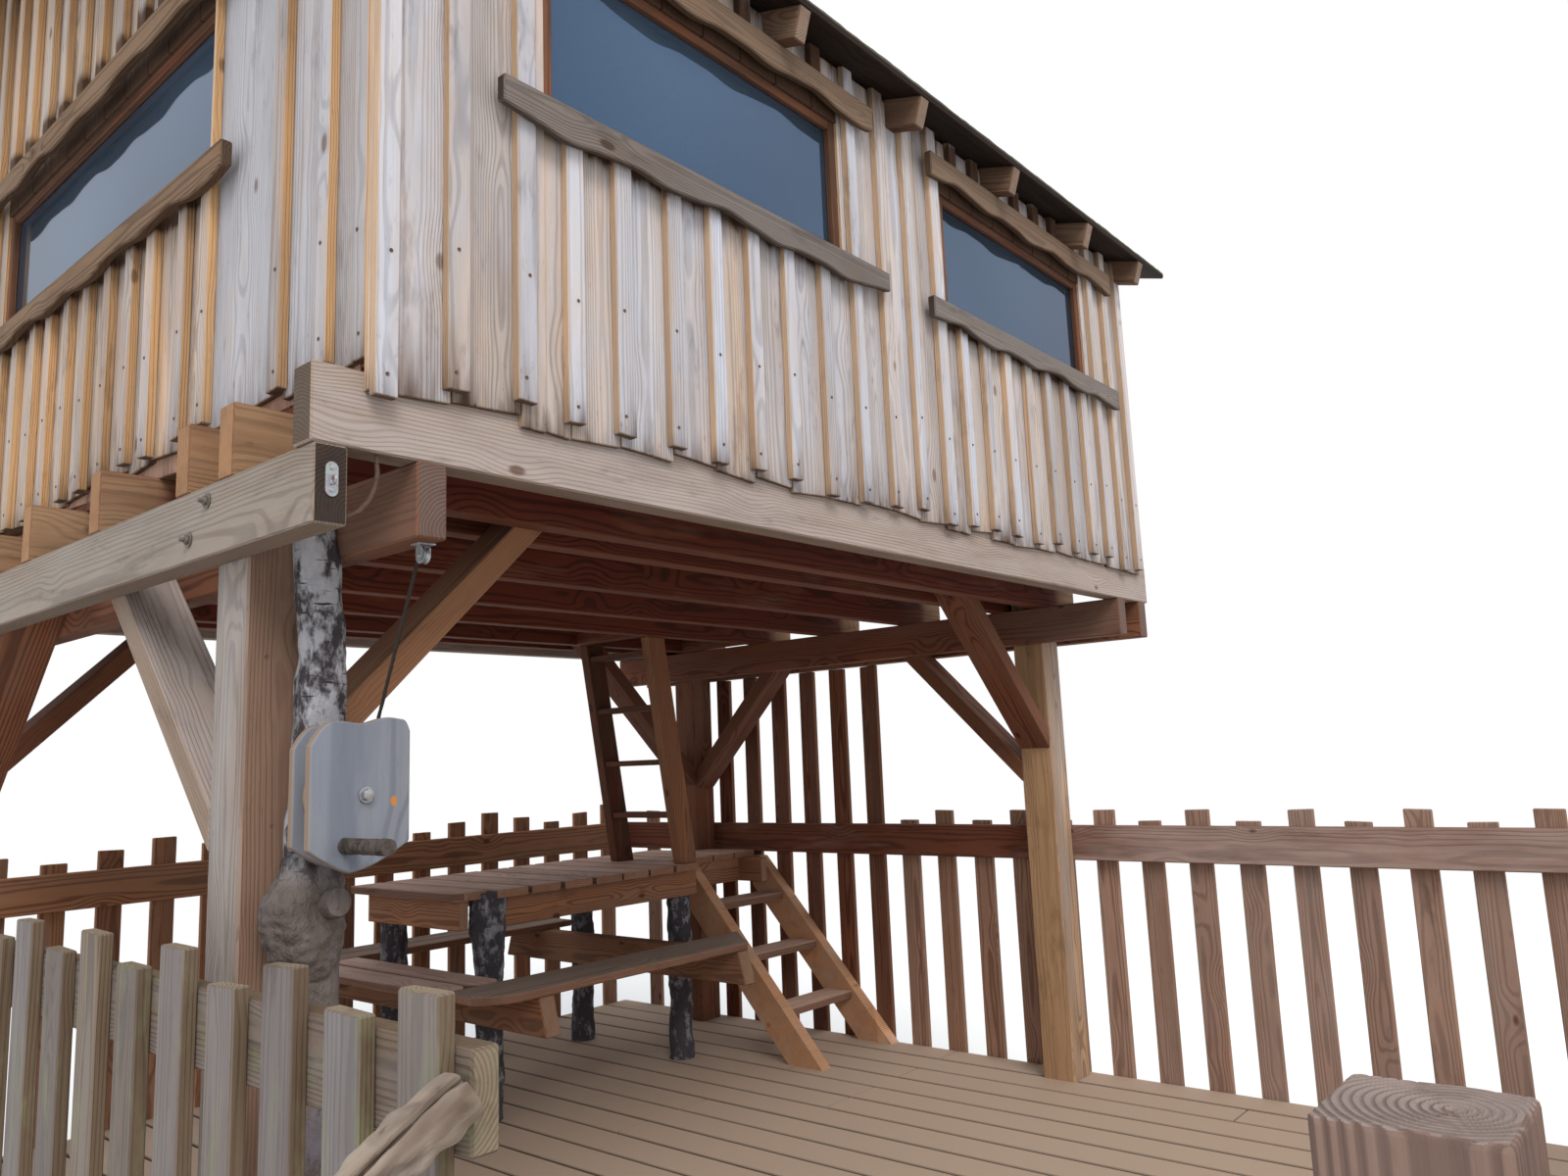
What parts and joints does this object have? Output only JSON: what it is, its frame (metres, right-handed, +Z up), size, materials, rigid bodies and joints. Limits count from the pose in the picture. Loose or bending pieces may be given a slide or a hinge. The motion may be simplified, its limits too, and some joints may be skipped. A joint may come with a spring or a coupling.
{
  "type": "tree house",
  "caption": "Board-clad cabin with a mono-pitch roof on square posts above a fenced timber deck, with table, stair, ladder and a hand winch.",
  "frame": {"origin": "centre of the near left post's foot on the lowest ground", "axes": "+X along the window wall to the right, +Y from the window wall to the back, +Z up"},
  "size_m": [5.032, 5.786, 5.3053],
  "materials": {
    "structural_timber": "sawn, weathered red-brown",
    "cladding": "rough sawn, silvered with orange-brown edges",
    "live_edge_boards": "sawn, dark weathered",
    "window_glass": "clear",
    "deck_timber": "worn grey-brown",
    "fence_timber": "sawn, weathered",
    "round_timber": "birch bark",
    "roof_covering": "boards under mossy felt",
    "winch_timber": "planed, silvered",
    "galvanised_steel": "galvanised",
    "rope": "dark braided"
  },
  "bodies": {
    "house": {"near_left_post": "structural_timber", "near_right_post": "structural_timber", "far_left_post": "structural_timber", "far_right_post": "structural_timber", "left_beams": "structural_timber", "right_beams": "structural_timber", "rim_beams": "structural_timber", "floor_joists": "structural_timber", "cabin_floor": "structural_timber", "left_braces": "structural_timber", "right_braces": "structural_timber", "front_wall": "cladding", "back_wall": "cladding", "left_wall": "cladding", "right_wall": "cladding", "front_window_boards": "live_edge_boards", "left_window_boards": "live_edge_boards", "window_glass": "window_glass", "rafters": "structural_timber", "roof_deck": "roof_covering", "deck_boards": "deck_timber", "deck_frame": "structural_timber", "deck_bearers": "structural_timber", "deck_piers": "structural_timber", "right_railing": "fence_timber", "tall_pickets": "fence_timber", "back_railing": "fence_timber", "left_railing": "fence_timber", "near_railing": "fence_timber", "entry_railing": "fence_timber", "newel_post": "structural_timber", "branch_handrail": "round_timber", "table_top": "deck_timber", "table_bearers": "structural_timber", "table_legs": "round_timber", "long_benches": "deck_timber", "side_bench": "deck_timber", "stair_stringers": "structural_timber", "stair_treads": "structural_timber", "ladder": "structural_timber", "hoist_pole": "round_timber", "winch_mount": "winch_timber", "pulley": "galvanised_steel", "hoist_rope": "rope"},
    "crank": {"winch_crank": "winch_timber"}
  },
  "joints": [
    {"name": "winch_turn", "type": "hinge", "parent": "house", "child": "crank", "pos_m": [0.06, -0.27, 1.901], "axis": [0, 1, 0], "continuous": true}
  ]
}
